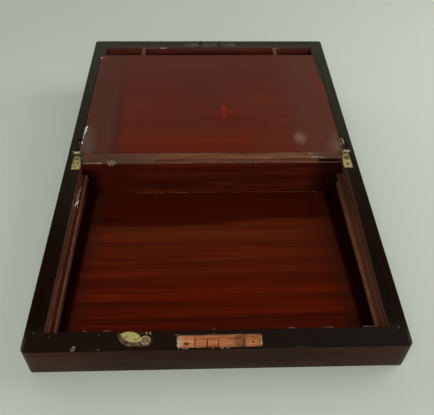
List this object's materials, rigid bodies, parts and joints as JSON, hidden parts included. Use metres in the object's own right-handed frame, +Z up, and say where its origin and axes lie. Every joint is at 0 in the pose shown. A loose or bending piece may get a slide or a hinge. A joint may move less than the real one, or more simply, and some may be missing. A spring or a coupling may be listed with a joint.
{
  "type": "portable writing desk",
  "caption": "Slope-topped wooden writing box hinged to open flat, with a lifting writing board, pen and ink wells, a hinged lid and a swinging flap catch.",
  "frame": {"origin": "on the table, under the hinge line, midway across the open desk: the bottom centre of its bounding box", "axes": "+X to the writer's right, along the hinge line; +Y away from the writer, the long way of the open desk; +Z up"},
  "size_m": [0.35, 0.508, 0.091],
  "materials": {
    "case_wood": "worn dark varnish",
    "inner_wood": "satin varnish",
    "varnished_panel": "glossy varnish",
    "board_wood": "dull varnish with old glue",
    "ledge_wood": "satin varnish",
    "rail_wood": "worn, dull",
    "bright_brass": "worn polish",
    "tarnished_brass": "tarnished"
  },
  "bodies": {
    "base": {"base_left_wall": "case_wood", "base_right_wall": "case_wood", "base_rear_wall": "case_wood", "base_hinge_wall": "inner_wood", "base_bottom_panel": "case_wood", "well_front_wall": "inner_wood", "left_well_divider": "inner_wood", "right_well_divider": "inner_wood", "left_well_lining": "inner_wood", "right_well_lining": "inner_wood", "pen_tray_floor": "inner_wood", "left_ink_well_floor": "inner_wood", "right_ink_well_floor": "inner_wood", "link_plate": "tarnished_brass", "link_plate_screws": "tarnished_brass", "left_base_leaf": "tarnished_brass", "right_base_leaf": "tarnished_brass", "base_leaf_screws": "tarnished_brass", "left_hinge_pin": "bright_brass", "right_hinge_pin": "bright_brass"},
    "board": {"writing_board": "board_wood"},
    "lid": {"lid_left_wall": "case_wood", "lid_right_wall": "case_wood", "lid_front_wall": "case_wood", "lid_hinge_wall": "inner_wood", "lid_panel": "varnished_panel", "left_flap_ledge": "ledge_wood", "right_flap_ledge": "ledge_wood", "flap_hinge_rail": "rail_wood", "left_lid_leaf": "bright_brass", "right_lid_leaf": "bright_brass", "lid_leaf_screws": "bright_brass", "catch_plate_inlay": "tarnished_brass", "catch_stud": "bright_brass"},
    "catch": {"catch_lever": "bright_brass"}
  },
  "joints": [
    {"name": "lid_hinge", "type": "hinge", "parent": "base", "child": "lid", "pos_m": [0, 0, 0.06], "axis": [-1, 0, 0], "range_deg": [0, 180]},
    {"name": "board_hinge", "type": "hinge", "parent": "base", "child": "board", "pos_m": [0, 0, 0.06], "axis": [1, 0, 0], "range_deg": [0, 180]},
    {"name": "catch_pivot", "type": "hinge", "parent": "lid", "child": "catch", "pos_m": [-0.0656, -0.24375, 0.03505], "axis": [0, -0.1018, 0.9948], "range_deg": [-45, 12]}
  ]
}
